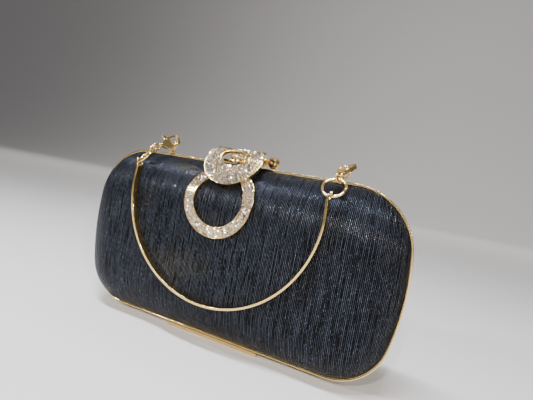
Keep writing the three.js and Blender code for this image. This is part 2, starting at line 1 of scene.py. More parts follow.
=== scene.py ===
"""A hard evening clutch: ribbed black lame over two moulded shells in gilt frames, a double ring set
with rhinestones over its kiss lock, and a half-round gilt handle on lobster clasps."""

import contextlib
import json
import math

import bmesh
import bpy
import numpy as np
from mathutils import Matrix, Vector


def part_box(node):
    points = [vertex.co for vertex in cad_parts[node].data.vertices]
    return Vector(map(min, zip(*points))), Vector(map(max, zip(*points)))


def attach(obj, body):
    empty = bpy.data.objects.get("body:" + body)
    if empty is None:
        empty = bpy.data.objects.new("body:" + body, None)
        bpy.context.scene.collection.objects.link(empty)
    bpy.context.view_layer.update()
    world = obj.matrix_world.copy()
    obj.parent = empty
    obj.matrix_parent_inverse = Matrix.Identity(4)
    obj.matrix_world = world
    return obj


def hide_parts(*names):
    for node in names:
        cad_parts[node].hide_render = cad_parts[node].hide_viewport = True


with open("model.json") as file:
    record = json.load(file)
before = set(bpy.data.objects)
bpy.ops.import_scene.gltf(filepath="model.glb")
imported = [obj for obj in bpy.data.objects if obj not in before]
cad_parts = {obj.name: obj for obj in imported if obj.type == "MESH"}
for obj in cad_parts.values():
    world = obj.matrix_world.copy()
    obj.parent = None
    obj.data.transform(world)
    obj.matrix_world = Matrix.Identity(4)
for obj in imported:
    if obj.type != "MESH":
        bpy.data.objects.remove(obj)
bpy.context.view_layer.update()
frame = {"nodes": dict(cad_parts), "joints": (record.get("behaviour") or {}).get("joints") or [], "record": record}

MM = 0.001

# The case. Its width, height and place come from the frames; these are its curves and walls.
SIDE_RADIUS = 139.8 * MM
TOP_CORNER = 32.7 * MM
BOTTOM_CORNER = 29.5 * MM
WIDEST_ABOVE_MIDDLE = 5 * MM
SHOULDER_RADIUS = 30 * MM
SHOULDER_LEAN = math.radians(25)
SHOULDER_INSET = 27.6 * MM
COVER_START = 1.25 * MM
LIP_WALL = 0.7 * MM
LIP_REACH = 1.6 * MM
WEB_WALL = 0.8 * MM
WEB_REACH = 5.2 * MM
HALF_GAP = 0.15 * MM

frame_low, frame_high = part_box("front_frame")
HALF_WIDTH = frame_high.x
CASE_BOTTOM = frame_low.z
CASE_TOP = frame_high.z
MIDDLE_Z = (CASE_BOTTOM + CASE_TOP) / 2
PARTING_Y = frame_high.y + HALF_GAP
ARC_CENTRE = -SHOULDER_RADIUS * math.sin(SHOULDER_LEAN)

joints = {joint["name"]: joint for joint in frame["joints"]}


# Modelling by hand: small steps on one piece at a time.


def begin(name, add, **settings):
    """Adds a primitive, names it and puts its place into its mesh."""
    bpy.ops.object.select_all(action="DESELECT")
    add(**settings)
    piece = bpy.context.object
    piece.name = name
    piece.data.name = name
    bpy.ops.object.transform_apply(location=True, rotation=True, scale=True)
    return piece


def take(piece):
    """Makes a piece the only selected one."""
    bpy.ops.object.select_all(action="DESELECT")
    piece.select_set(True)
    bpy.context.view_layer.objects.active = piece


@contextlib.contextmanager
def editing(piece):
    """Edit mode on one piece, picking vertices, with all of it selected at the start."""
    take(piece)
    bpy.ops.object.mode_set(mode="EDIT")
    bpy.ops.mesh.select_mode(type="VERT")
    bpy.ops.mesh.select_all(action="SELECT")
    yield
    bpy.ops.object.mode_set(mode="OBJECT")


def pick(piece, kind, wanted):
    """In edit mode, selects the vertices, edges or faces that pass a test."""
    bpy.ops.mesh.select_mode(type=kind)
    bpy.ops.mesh.select_all(action="DESELECT")
    mesh = bmesh.from_edit_mesh(piece.data)
    mesh.normal_update()
    for item in {"VERT": mesh.verts, "EDGE": mesh.edges, "FACE": mesh.faces}[kind]:
        item.select_set(bool(wanted(item)))
    mesh.select_flush_mode()
    bmesh.update_edit_mesh(piece.data)


def modify(piece, kind, **settings):
    """Adds a modifier, sets it and applies it."""
    take(piece)
    modifier = piece.modifiers.new(kind, kind)
    for name, value in settings.items():
        setattr(modifier, name, value)
    bpy.ops.object.modifier_apply(modifier=modifier.name)


def break_edges(piece, width, segments, degrees):
    """Bevels every edge that turns by more than an angle."""
    turn = math.radians(degrees)
    modify(piece, "BEVEL", width=width, segments=segments, limit_method="ANGLE", angle_limit=turn)


def extrude(move):
    """In edit mode, extrudes what is selected along a move."""
    bpy.ops.mesh.extrude_region_move(TRANSFORM_OT_translate={"value": move})


def even_out(piece):
    """Merges doubles and turns every face outwards."""
    with editing(piece):
        bpy.ops.mesh.remove_doubles(threshold=0.002 * MM)
        bpy.ops.mesh.normals_make_consistent(inside=False)


def soften(piece, degrees=35):
    take(piece)
    bpy.ops.object.shade_smooth_by_angle(angle=math.radians(degrees))


def fit(piece, body, slot, material, *nodes):
    """Gives a finished piece its material and its body, and hides the CAD nodes that it stands for."""
    piece.data.materials.clear()
    piece.data.materials.append(material)
    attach(piece, body)
    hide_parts(*nodes)


def cut(piece, tool, operation="DIFFERENCE"):
    """Cuts a piece with another, or welds the other to it, and removes the tool."""
    modify(piece, "BOOLEAN", object=tool, operation=operation, solver="EXACT")
    bpy.data.objects.remove(tool)


# Materials.


def linear(hex_colour):
    """An sRGB hex colour as linear RGBA."""
    parts = [int(hex_colour[i : i + 2], 16) / 255 for i in (1, 3, 5)]
    return [c / 12.92 if c <= 0.04045 else ((c + 0.055) / 1.055) ** 2.4 for c in parts] + [1]


def add_node(tree, kind, settings=None, links=None):
    """Adds a shader node with its settings, and its inputs as values or links."""
    made = tree.nodes.new(kind)
    for name, value in (settings or {}).items():
        setattr(made, name, value)
    for socket, value in (links or {}).items():
        if isinstance(value, bpy.types.NodeSocket):
            tree.links.new(value, made.inputs[socket])
        else:
            made.inputs[socket].default_value = value
    return made


def finish_named(name, colour="#ffffff", **sockets):
    """A material with its Principled shader's own colour and sockets set."""
    material = bpy.data.materials.new(name)
    material.use_nodes = True
    shader = material.node_tree.nodes["Principled BSDF"]
    shader.inputs["Base Color"].default_value = linear(colour)
    for socket, value in sockets.items():
        shader.inputs[socket.replace("_", " ")].default_value = value
    return material, material.node_tree, shader


def object_place(tree):
    return add_node(tree, "ShaderNodeTexCoord").outputs["Object"]


def scaled(tree, place, scale):
    return add_node(tree, "ShaderNodeMapping", links={"Vector": place, "Scale": scale}).outputs[0]


def noise(tree, place, scale, detail, roughness=0.5):
    links = {"Vector": place, "Scale": scale, "Detail": detail, "Roughness": roughness}
    return add_node(tree, "ShaderNodeTexNoise", links=links).outputs[0]


def ranged(tree, value, source, target):
    """A value carried from one range to another."""
    links = {"Value": value, "From Min": source[0], "From Max": source[1]}
    links.update({"To Min": target[0], "To Max": target[1]})
    return add_node(tree, "ShaderNodeMapRange", links=links).outputs[0]


def shade(tree, value, dark, light, stops=(0, 1)):
    """A colour between two, where a value runs from one stop to the other."""
    ramp = add_node(tree, "ShaderNodeValToRGB", links={"Fac": value})
    for element, position, colour in zip(ramp.color_ramp.elements, stops, (dark, light)):
        element.position = position
        element.color = linear(colour)
    return ramp.outputs[0]


def raised(tree, height, strength, distance):
    links = {"Height": height, "Strength": strength, "Distance": distance}
    return add_node(tree, "ShaderNodeBump", links=links).outputs[0]


def feed(tree, shader, **sockets):
    """Links outputs to the shader's sockets."""
    for socket, value in sockets.items():
        tree.links.new(value, shader.inputs[socket.replace("_", " ")])


def ribbed_lame():
    """Black lame: satin ground with fine warp ribs of lurex, so highlights break into upright streaks."""
    material, tree, shader = finish_named("ribbed_lame", Specular_IOR_Level=0.07)
    rib = 0.85 * MM
    fleck = (0.45 * MM, 0.9 * MM)
    place = add_node(tree, "ShaderNodeTexCoord").outputs["UV"]
    across = scaled(tree, place, (1 / rib, 0.045 / rib, 1))
    threads = noise(tree, across, 1.0, 3.0, 0.65)
    wave = add_node(
        tree,
        "ShaderNodeTexWave",
        {"wave_type": "BANDS", "bands_direction": "X", "wave_profile": "SIN"},
        {"Vector": across, "Scale": 0.314, "Distortion": 1.6, "Detail": 2.0, "Detail Scale": 0.8},
    )
    flecks = add_node(
        tree,
        "ShaderNodeTexVoronoi",
        {"feature": "F1"},
        {"Vector": scaled(tree, place, (1 / fleck[0], 1 / fleck[1], 1)), "Scale": 1.0, "Randomness": 1.0},
    )
    bright = ranged(tree, flecks.outputs["Color"], (0.62, 1.0), (0.0, 1.0))
    links = {0: threads, 1: wave.outputs["Fac"]}
    mixed = add_node(tree, "ShaderNodeMath", {"operation": "MULTIPLY"}, links).outputs[0]
    links = {0: bright, 1: 0.35, 2: mixed}
    height = add_node(tree, "ShaderNodeMath", {"operation": "MULTIPLY_ADD"}, links).outputs[0]
    feed(
        tree,
        shader,
        Base_Color=shade(tree, height, "#010102", "#5c6473", (0.36, 0.95)),
        Metallic=ranged(tree, height, (0.38, 0.75), (0.0, 0.7)),
        Roughness=ranged(tree, height, (0.0, 0.8), (0.4, 0.22)),
        Normal=raised(tree, height, 1.0, 0.3 * MM),
    )
    return material


def gilt_plating(name, colour, roughness):
    """Pale gold plate on brass, buffed: a mirror with faint handling haze and hairline buffing marks."""
    material, tree, shader = finish_named(name, colour, Metallic=1.0)
    place = object_place(tree)
    haze = noise(tree, place, 1 / (4 * MM), 4.0, 0.6)
    marks = noise(tree, place, 1 / (0.6 * MM), 2.0)
    gloss = ranged(tree, haze, (0.3, 0.7), (roughness * 0.7, roughness * 1.4))
    feed(tree, shader, Roughness=gloss, Normal=raised(tree, marks, 0.06, 0.03 * MM))
    return material


def foiled_crystal():
    """Machine-cut glass chatons, foiled in silver: each facet throws back light like a small mirror."""
    material, tree, shader = finish_named(
        "foiled_crystal", Metallic=0.9, Roughness=0.06, Coat_Weight=1.0, Coat_Roughness=0.02
    )
    # Painted glints: the stones' colour mottles from dark brown to near white in facet-sized spots, as painted
    # bright and dark reflections, not a tone of the glass.
    links = {"Vector": object_place(tree), "Scale": 1 / (0.62 * MM)}
    stones = add_node(tree, "ShaderNodeTexVoronoi", links=links).outputs["Color"]
    feed(tree, shader, Base_Color=shade(tree, stones, "#4a4236", "#fbfaf6", (0.38, 0.58)))
    return material


def lining_satin():
    """Black polyester satin glued to the board: smooth floats with a soft cool sheen."""
    material, tree, shader = finish_named("lining_satin", Sheen_Weight=0.3, Sheen_Roughness=0.3)
    place = scaled(tree, object_place(tree), (1 / (0.5 * MM), 1 / (0.5 * MM), 1 / (6 * MM)))
    floats = noise(tree, place, 1.0, 3.0)
    feed(
        tree,
        shader,
        Base_Color=shade(tree, floats, "#101015", "#2b2b33"),
        Roughness=ranged(tree, floats, (0, 1), (0.5, 0.32)),
        Normal=raised(tree, floats, 0.3, 0.1 * MM),
    )
    return material


def moulded_board():
    """Black ABS as it comes from the mould, with a fine spark-eroded grain."""
    material, tree, shader = finish_named("moulded_board", "#1b1b1e", Roughness=0.6, IOR=1.53)
    grit = noise(tree, object_place(tree), 1 / (0.4 * MM), 2.0)
    feed(tree, shader, Normal=raised(tree, grit, 0.2, 0.05 * MM))
    return material


def drawn_steel():
    """Bright drawn steel wire, with draw lines along it."""
    material, tree, shader = finish_named("drawn_steel", "#b9b8b4", Metallic=1.0)
    lines = noise(tree, object_place(tree), 1 / (0.3 * MM), 3.0)
    feed(tree, shader, Roughness=ranged(tree, lines, (0, 1), (0.2, 0.4)))
    return material


LAME = ribbed_lame()
GILT = gilt_plating("gilt_plating", "#e9c983", 0.13)
STONE = foiled_crystal()
SATIN = lining_satin()
BOARD = moulded_board()
STEEL = drawn_steel()
# A smoky foiled stone, and black polyester sewing thread.
SMOKY = finish_named("smoky_stone", "#3a2a18", Metallic=0.8, Roughness=0.08, Coat_Weight=1.0)[0]
THREAD = finish_named("polyester_thread", "#1a1a20", Roughness=0.6, Sheen_Weight=0.4)[0]
FINISHES = {"lame": LAME, "board": BOARD, "satin": SATIN, "gilt": GILT, "pave": GILT, "steel": STEEL}

for entry in frame["record"]["subparts"]:
    node_object = frame["nodes"][entry["node"]]
    for material_slot in node_object.material_slots:
        material_slot.material = FINISHES[entry["material_slot"]]


# The case: every surface of it is a parallel of one outline and one rolled shoulder.


def corner_centre(radius, height):
    """The middle of a corner's arc, which touches the bowed side."""
    rise = height - MIDDLE_Z - WIDEST_ABOVE_MIDDLE
    reach = math.sqrt((SIDE_RADIUS - radius) ** 2 - rise**2)
    return Vector((HALF_WIDTH - SIDE_RADIUS + reach, 0, height)), math.atan2(rise, reach)


def draw_outline(name, inset, y):
    """The case's edge, a distance inside the frames: one point extruded and spun, then mirrored."""
    top, top_turn = corner_centre(TOP_CORNER, CASE_TOP - TOP_CORNER)
    bottom, bottom_turn = corner_centre(BOTTOM_CORNER, CASE_BOTTOM + BOTTOM_CORNER)
    side = Vector((HALF_WIDTH - SIDE_RADIUS, 0, MIDDLE_Z + WIDEST_ABOVE_MIDDLE))
    start = (0, y, CASE_BOTTOM + inset)
    line = begin(name, bpy.ops.mesh.primitive_plane_add, size=MM, location=start)
    with editing(line):
        bpy.ops.mesh.merge(type="CENTER")
        bpy.ops.mesh.extrude_vertices_move(TRANSFORM_OT_translate={"value": (bottom.x, 0, 0)})
        for centre, turn, steps in (
            (bottom, bottom_turn + math.pi / 2, 14),
            (side, top_turn - bottom_turn, 10),
            (top, math.pi / 2 - top_turn, 16),
        ):
            bpy.ops.mesh.spin(steps=steps, angle=turn, center=centre, axis=(0, 1, 0))
        bpy.ops.mesh.extrude_vertices_move(TRANSFORM_OT_translate={"value": (-top.x, 0, 0)})
    modify(line, "MIRROR", use_axis=(True, False, False), merge_threshold=0.01 * MM)
    return line


def shoulder(under, start, steps):
    """Insets and depths along the rolled shoulder, for a surface a distance under the cover."""
    radius = SHOULDER_RADIUS - under
    first = math.asin((start - ARC_CENTRE) / radius)
    turns = [first + (math.pi / 2 - first) * i / steps for i in range(steps + 1)]
    return [
        (SHOULDER_INSET - radius * math.cos(turn), ARC_CENTRE + radius * math.sin(turn))
        for turn in turns
    ]


def dish(name, side, under, start, steps):
    """One parallel surface of a half case, from its edge over the shoulder to the flat face."""
    profile = shoulder(under, start, steps)
    first_inset, first_depth = profile[0]
    piece = draw_outline(name, first_inset, PARTING_Y + side * first_depth)
    with editing(piece):
        bpy.ops.mesh.edge_face_add()
        for (last_inset, last_depth), (inset, depth) in zip(profile, profile[1:]):
            bpy.ops.mesh.inset(thickness=inset - last_inset, use_even_offset=True)
            bpy.ops.transform.translate(value=(0, side * (depth - last_depth), 0))
    return piece


def lay_cloth(piece, under):
    """A UV map in metres that unrolls the shoulder, so that the ribs keep their pitch round it."""
    mesh = piece.data
    radius = SHOULDER_RADIUS - under
    layer = mesh.uv_layers[0]
    layer.name = "cloth"
    for loop in mesh.loops:
        place = mesh.vertices[loop.vertex_index].co
        normal = mesh.vertices[loop.vertex_index].normal
        lift = min(1.0, max(-1.0, (abs(place.y - PARTING_Y) - ARC_CENTRE) / radius))
        turn = math.asin(lift)
        spare = radius * (math.pi / 2 - turn - math.cos(turn))
        out = Vector((normal.x, 0, normal.z))
        if out.length > 1e-6:
            out.normalize()
        layer.data[loop.index].uv = (place.x + out.x * spare, place.z + out.z * spare)


def cover(side, word):
    """The lame, glued over the shell and tucked under the frame's lip."""
    piece = dish(f"{word}_lame_cover", side, 0, COVER_START, 18)
    with editing(piece):
        bpy.ops.mesh.normals_make_consistent(inside=False)
    lay_cloth(piece, 0)
    modify(piece, "SOLIDIFY", thickness=0.7 * MM, offset=-1, use_even_offset=True)
    soften(piece, 50)
    fit(piece, f"{word}_half", "lame", LAME, f"{word}_cover")


def rim(side, word):
    """The gilt frame: an angle section with a polished lip over the cover's edge."""
    piece = draw_outline(f"{word}_gilt_frame", 0, PARTING_Y + side * HALF_GAP)
    with editing(piece):
        bpy.ops.mesh.edge_face_add()
        bpy.ops.mesh.inset(thickness=LIP_WALL, use_even_offset=True)
        bpy.ops.mesh.inset(thickness=WEB_REACH - LIP_WALL, use_even_offset=True)
        bpy.ops.mesh.delete(type="ONLY_FACE")
        bpy.ops.mesh.select_all(action="SELECT")
        extrude((0, side * WEB_WALL, 0))
        far = PARTING_Y + side * (HALF_GAP + WEB_WALL)
        edge = LIP_WALL * 1.2

        def is_lip(face):
            middle = face.calc_center_median()
            flat = abs(face.normal.y) > 0.9 and abs(middle.y - far) < 0.01 * MM
            return flat and face.calc_area() / max(e.calc_length() for e in face.edges) < edge

        pick(piece, "FACE", is_lip)
        reach = LIP_REACH - HALF_GAP - WEB_WALL
        extrude((0, side * reach, 0))
    even_out(piece)
    break_edges(piece, 0.16 * MM, 3, 50)
    soften(piece, 30)
    fit(piece, f"{word}_half", "gilt", GILT, f"{word}_frame")


for side, word in ((-1, "front"), (1, "back")):
    cover(side, word)
    rim(side, word)


# Rings, links and clasps. Each takes its place from the CAD node that it stands for.


def ring_place(name):
    """Middle, normal, radius and wire radius of a CAD ring, from its own mesh."""
    points = np.array([v.co for v in frame["nodes"][name].data.vertices])
    middle = (points.max(0) + points.min(0)) / 2
    _, _, axes = np.linalg.svd(points - points.mean(0), full_matrices=False)
    normal = axes[2]
    out = points - middle
    height = out @ normal
    reach = np.linalg.norm(out - np.outer(height, normal), axis=1)
    wire = height.max()
    return Vector(middle), Vector(normal), reach.max() - wire, wire * 0.93


def basis(origin, x_axis, z_axis):
    """A matrix that puts local X and Z along two directions at right angles."""
    x_axis, z_axis = x_axis.normalized(), z_axis.normalized()
    y_axis = z_axis.cross(x_axis)
    turn = Matrix((x_axis, y_axis, z_axis)).transposed()
    return Matrix.Translation(origin) @ turn.to_4x4()


def wire_ring(name, node, body, joint_from, gap):
    """Round wire bent to a ring. The butt joint of its ends shows as a fine slit."""
    middle, normal, radius, wire = ring_place(node)
    toward = joint_from - middle
    toward -= normal * toward.dot(normal)
    ring = begin(
        name,
        bpy.ops.mesh.primitive_circle_add,
        vertices=16,
        radius=wire,
        location=(radius, 0, 0),
        rotation=(math.pi / 2, 0, 0),
    )
    with editing(ring):
        turn = 2 * math.pi - gap / radius
        bpy.ops.mesh.spin(steps=56, angle=turn, center=(0, 0, 0), axis=(0, 0, 1))
        bpy.ops.mesh.select_all(action="SELECT")
        bpy.ops.mesh.fill_holes(sides=0)
    even_out(ring)
    break_edges(ring, 0.08 * MM, 2, 60)
    ring.data.transform(basis(middle, toward, normal))
    soften(ring, 40)
    fit(ring, body, "gilt", GILT, node)


def links(side):
    """The large ring through the handle, the jump ring above it and the small ring on the frame."""
    outwards = Vector((-1 if side == "left" else 1, -0.2, 0.1)) * 10 * MM
    for joint, ring, body, slit in (
        ("soldered", "o_ring", "handle", 0.04 * MM),
        ("split", "jump_ring", "clips", 0.12 * MM),
        ("split", "frame_ring", "clips", 0.1 * MM),
    ):
        node = f"{side}_{ring}"
        wire_ring(f"{side}_{joint}_{ring}", node, body, ring_place(node)[0] + outwards, slit)


# Lobster clasps, drawn along their own +X from the hole of the tail eye.
GATE_PIVOT = Vector((7.2, 2.6, 0)) * MM
TAIL_RADIUS = 2.4 * MM
TAIL_HOLE = 1.6 * MM
CLASP_WALL = 2.4 * MM
HOOK_CENTRE = 11.3 * MM
HOOK_OUTER = (3.9 * MM, 3.5 * MM)
HOOK_INNER = (2.3 * MM, 1.95 * MM)
GATE_WALL = 1.1 * MM
BODY_OUTLINE = [
    (2.1, -0.9), (3.4, -1.2), (5.2, -2.8), (8.2, -3.4), (9.7, -2.9), (9.7, 0.6),
    (9, 1.4), (8.9, 3.1), (6.2, 3.4), (4.6, 2.3), (3.4, 1.2), (2.1, 0.9),
]
GATE_OUTLINE = [
    (6.3, 2.0), (8.2, 2.2), (13.5, 2.4), (13.5, 3.6),
    (8.8, 4.1), (7.0, 5.3), (5.5, 5.6), (5.7, 4.4),
]


def disc(name, radii, wall, place, sides=48):
    """An upright plate with a round or oval outline."""
    return begin(
        name,
        bpy.ops.mesh.primitive_cylinder_add,
        vertices=sides,
        radius=1,
        depth=wall,
        location=(*place, 0),
        scale=(radii[0], radii[1], 1),
    )


def plate(name, outline, wall):
    """A plate cut to an outline: its points are extruded one by one, filled and thickened."""
    first = outline[0]
    start = (first[0] * MM, first[1] * MM, -wall / 2)
    piece = begin(name, bpy.ops.mesh.primitive_plane_add, size=MM, location=start)
    with editing(piece):
        bpy.ops.mesh.merge(type="CENTER")
        for (ax, ay), (bx, by) in zip(outline, outline[1:]):
            step = ((bx - ax) * MM, (by - ay) * MM, 0)
            bpy.ops.mesh.extrude_vertices_move(TRANSFORM_OT_translate={"value": step})
        bpy.ops.mesh.select_all(action="SELECT")
        bpy.ops.mesh.edge_face_add()
        extrude((0, 0, wall))
    even_out(piece)
    return piece


def cast(piece, grain, smooth):
    """Rounds a built-up shape all over, as a small casting is after tumbling."""
    modify(piece, "REMESH", mode="VOXEL", voxel_size=grain)
    modify(piece, "SMOOTH", factor=0.5, iterations=smooth)
    take(piece)
    bpy.ops.object.shade_smooth()


def clasp_body():
    """Tail eye, body and open hook, cast in one piece."""
    body = plate("clasp_body", BODY_OUTLINE, CLASP_WALL)
    cut(body, disc("tail", (TAIL_RADIUS, TAIL_RADIUS), 1.2 * MM, (0, 0)), "UNION")
    cut(body, disc("hook", HOOK_OUTER, CLASP_WALL, (HOOK_CENTRE, 0)), "UNION")
    cut(body, disc("tail_hole", (TAIL_HOLE, TAIL_HOLE), 6 * MM, (0, 0)))
    cut(body, disc("opening", HOOK_INNER, 6 * MM, (HOOK_CENTRE, 0)))
    mouth = [(8.9, 1.1), (13.8, 1.1), (13.8, 6), (8.9, 6)]
    cut(body, plate("mouth", mouth, 6 * MM))
    slot = [(5, 1.1), (10, 1.1), (10, 6), (5, 6)]
    cut(body, plate("slot", slot, GATE_WALL + 0.7 * MM))
    cast(body, 0.16 * MM, 5)
    return body


def clasp_gate():
    """The sprung lever, with its thumb nib."""
    gate = plate("clasp_gate", GATE_OUTLINE, GATE_WALL)
    cast(gate, 0.14 * MM, 3)
    return gate


def clasp_pin():
    """The riveted axle of the gate, its ends headed over."""
    pin = disc("clasp_pin", (0.4 * MM, 0.4 * MM), CLASP_WALL, (GATE_PIVOT.x, GATE_PIVOT.y), 20)
    with editing(pin):
        pick(pin, "FACE", lambda face: abs(face.normal.z) > 0.9)
        bpy.ops.mesh.inset(thickness=0.12 * MM, depth=0.05 * MM, use_individual=True)
    soften(pin, 30)
    return pin


def copy_of(piece, name, place):
    """A copy with its own mesh, put in its place inside the mesh."""
    twin = piece.copy()
    twin.data = piece.data.copy()
    twin.name = name
    twin.data.name = name
    twin.data.transform(place)
    bpy.context.scene.collection.objects.link(twin)
    return twin


def clasp_place(side):
    """Where a clasp lies: its pin is the gate joint's axis, its tail eye is round the jump ring."""
    joint = joints[f"{side}_gate_press"]
    pin, normal = Vector(joint["pos_m"]), Vector(joint["axis"]).normalized()
    middle, _, radius, _ = ring_place(f"{side}_jump_ring")
    swing = joints["handle_swing"]["pos_m"]
    o_middle, _, o_radius, _ = ring_place(f"{side}_o_ring")
    rise = Vector((0, swing[1] - o_middle.y, swing[2] - o_middle.z))
    sideways = math.sqrt(max(0.0, o_radius**2 - rise.length_squared))
    guesses = [o_middle + rise + Vector((sign * sideways, 0, 0)) for sign in (-1, 1)]
    tails = [middle + (middle - pivot).normalized() * radius for pivot in guesses]
    reach = GATE_PIVOT.length
    tail = min(tails, key=lambda point: abs((pin - point).length - reach))
    to_pin = pin - tail
    to_pin -= normal * to_pin.dot(normal)
    lean = Matrix.Rotation(-math.atan2(GATE_PIVOT.y, GATE_PIVOT.x), 3, normal)
    along = (lean @ to_pin).normalized()
    return basis(pin, along, normal) @ Matrix.Translation(-GATE_PIVOT)


def clasps():
    """Both clasps from one set of parts."""
    body, gate, pin = clasp_body(), clasp_gate(), clasp_pin()
    for side in ("left", "right"):
        place = clasp_place(side)
        cast_body = copy_of(body, f"{side}_lobster_body", place)
        fit(cast_body, "clips", "gilt", GILT, f"{side}_clasp_body")
        lever = copy_of(gate, f"{side}_lobster_gate", place)
        fit(lever, f"{side}_gate", "gilt", GILT, f"{side}_clasp_gate")
        axle = copy_of(pin, f"{side}_lobster_pin", place)
        fit(axle, "clips", "steel", STEEL, f"{side}_gate_pin")
    for model in (body, gate, pin):
        bpy.data.objects.remove(model)


# The handle: a flat strip bent to a half round, with straight ends that hang in the O-rings.
HANDLE_RADIUS = 57.8 * MM
HANDLE_DRIFT = 1.8 * MM
HANDLE_DROP = 19.2 * MM
HANDLE_PAST = math.radians(8.35)
STRIP_WALL = 1.3 * MM
STRIP_END = 2.8 * MM
STRIP_HOLE = 1.7 * MM
PIVOT_X = {"left": -54.4 * MM, "right": 60 * MM}


def handle_hole(side):
    """The strip's hole hangs at the far side of the O-ring from its pivot."""
    swing = joints["handle_swing"]["pos_m"]
    middle = ring_place(f"{side}_o_ring")[0]
    return 2 * middle - Vector((PIVOT_X[side], swing[1], swing[2]))


def handle():
    low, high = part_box("handle")
    middle_y = (low.y + high.y) / 2
    centre = Vector((HANDLE_DRIFT, middle_y, CASE_TOP - HANDLE_DROP))
    strip = begin("gilt_strip_handle", bpy.ops.mesh.primitive_plane_add, size=1, location=(0, 0, 0))
    strip.data.transform(Matrix.Diagonal((STRIP_WALL, high.y - low.y, 1, 1)))
    strip.data.transform(Matrix.Translation((HANDLE_RADIUS, 0, 0)))
    strip.data.transform(Matrix.Rotation(-HANDLE_PAST, 4, "Y"))
    strip.data.transform(Matrix.Translation(centre))
    turn = math.pi + 2 * HANDLE_PAST
    with editing(strip):
        bpy.ops.mesh.delete(type="ONLY_FACE")
        bpy.ops.mesh.select_all(action="SELECT")
        bpy.ops.mesh.spin(steps=96, angle=-turn, center=centre, axis=(0, 1, 0))
        for side, sign in (("left", -1), ("right", 1)):
            way = Vector((sign * math.cos(HANDLE_PAST), 0, math.sin(HANDLE_PAST)))
            start = centre + way * HANDLE_RADIUS
            hole = handle_hole(side)
            run = Vector((hole.x - start.x, 0, hole.z - start.z))
            run *= 1 + STRIP_END / run.length
            pick(
                strip,
                "EDGE",
                lambda edge: edge.is_boundary and (edge.verts[0].co - start).length < 4 * MM,
            )
            extrude(run)
            bpy.ops.mesh.edge_face_add()

        def is_end_corner(edge):
            ends = [v.co for v in edge.verts]
            along_x = abs(ends[0].y - ends[1].y) < 0.01 * MM
            return along_x and min(v.z for v in ends) > centre.z + HANDLE_RADIUS * math.sin(HANDLE_PAST) + MM

        pick(strip, "EDGE", lambda edge: is_end_corner(edge) and edge.calc_length() < 2 * STRIP_WALL)
        bpy.ops.mesh.bevel(offset=1.9 * MM, segments=6)
    even_out(strip)
    for side in ("left", "right"):
        hole = handle_hole(side)
        drill = begin(
            "drill",
            bpy.ops.mesh.primitive_cylinder_add,
            vertices=28,
            radius=STRIP_HOLE,
            depth=6 * MM,
            location=hole,
            rotation=(0, math.pi / 2, 0),
        )
        cut(strip, drill)
    break_edges(strip, 0.22 * MM, 3, 45)
    soften(strip, 35)
    fit(strip, "handle", "gilt", GILT, "handle")


handle()
for side in ("left", "right"):
    links(side)
clasps()


# The ornament. Its two rings are modelled flat, X across and Z up, then laid along their paths.
CLEARANCE = 0.3 * MM
RING_OUTER = 20.9 * MM
RING_INNER = 14.8 * MM
RING_WALL = 2.2 * MM
RING_X = -0.6 * MM
RING_DROP = 20.8 * MM
ARCH_HALF_WIDTH = 17.2 * MM
ARCH_HALF_LENGTH = 16.4 * MM
ARCH_MIDDLE = 15.2 * MM
ARCH_CREST_HALF_WIDTH = 15 * MM
ARCH_CREST_LENGTH = 6 * MM
ARCH_WALL = 2 * MM
ARCH_HOLE = (8.6 * MM, 5.8 * MM)
ARCH_HOLE_MIDDLE = 13.2 * MM
CREST_RISE = 8.7 * MM
ARCH_PATH = [
    (1.6, -0.1), (-4.5, -0.6), (-8.6, -4), (-11.6, -8.4), (-14.5, -12.8), (-17.4, -17.8), (-19.3, -22.5),
]
BORDER = 0.28 * MM
BED_DEPTH = 0.3 * MM
STONE_RADIUS = 0.63 * MM
STONE_PITCH = 1.38 * MM
BEAD_RADIUS = 0.22 * MM
BEAD_PITCH = 0.6 * MM


def shoulder_path(along, depth):
    """A point of the lower ring: flat on the face below the shoulder, rolling back above it."""
    radius = SHOULDER_RADIUS + CLEARANCE + RING_WALL
    turn = max(0.0, along) / radius
    level = CASE_TOP - SHOULDER_INSET + min(0.0, along)
    reach = radius - depth
    y = PARTING_Y - ARC_CENTRE - reach * math.cos(turn)
    return Vector((0, y, level + reach * math.sin(turn)))


def curve_through(points, steps=24):
    """A smooth curve through points, sampled close together, with its lengths."""
    ends = [2 * points[0] - points[1], *points, 2 * points[-1] - points[-2]]
    line = []
    for a, b, c, d in zip(ends, ends[1:], ends[2:], ends[3:]):
        for i in range(steps):
            t = i / steps
            bend = (2 * a - 5 * b + 4 * c - d) * t**2 + (3 * b - a - 3 * c + d) * t**3
            line.append(0.5 * (2 * b + (c - a) * t + bend))
    line.append(points[-1])
    lengths = [0.0]
    for one, two in zip(line, line[1:]):
        lengths.append(lengths[-1] + (two - one).length)
    return line, lengths


saddle_points = [Vector((0, PARTING_Y + y * MM, CASE_TOP + CREST_RISE + z * MM)) for y, z in ARCH_PATH]
SADDLE, SADDLE_LENGTHS = curve_through(saddle_points)


def saddle_path(along, depth):
    """A point of the arch ring: over the crest, then down in front of the shoulder."""
    held = min(max(along, 0.0), SADDLE_LENGTHS[-1])
    i = min(int(np.searchsorted(SADDLE_LENGTHS, held)), len(SADDLE) - 1) or 1
    share = (held - SADDLE_LENGTHS[i - 1]) / (SADDLE_LENGTHS[i] - SADDLE_LENGTHS[i - 1])
    run = (SADDLE[min(i + 1, len(SADDLE) - 1)] - SADDLE[max(i - 2, 0)]).normalized()
    inward = Vector((0, -run.z, run.y))
    return SADDLE[i - 1].lerp(SADDLE[i], share) + run * (along - held) + inward * depth


def ring_edge(radius):
    middle = CASE_TOP - RING_DROP - (CASE_TOP - SHOULDER_INSET)
    return lambda turn: (RING_X + radius * math.cos(turn), middle + radius * math.sin(turn))


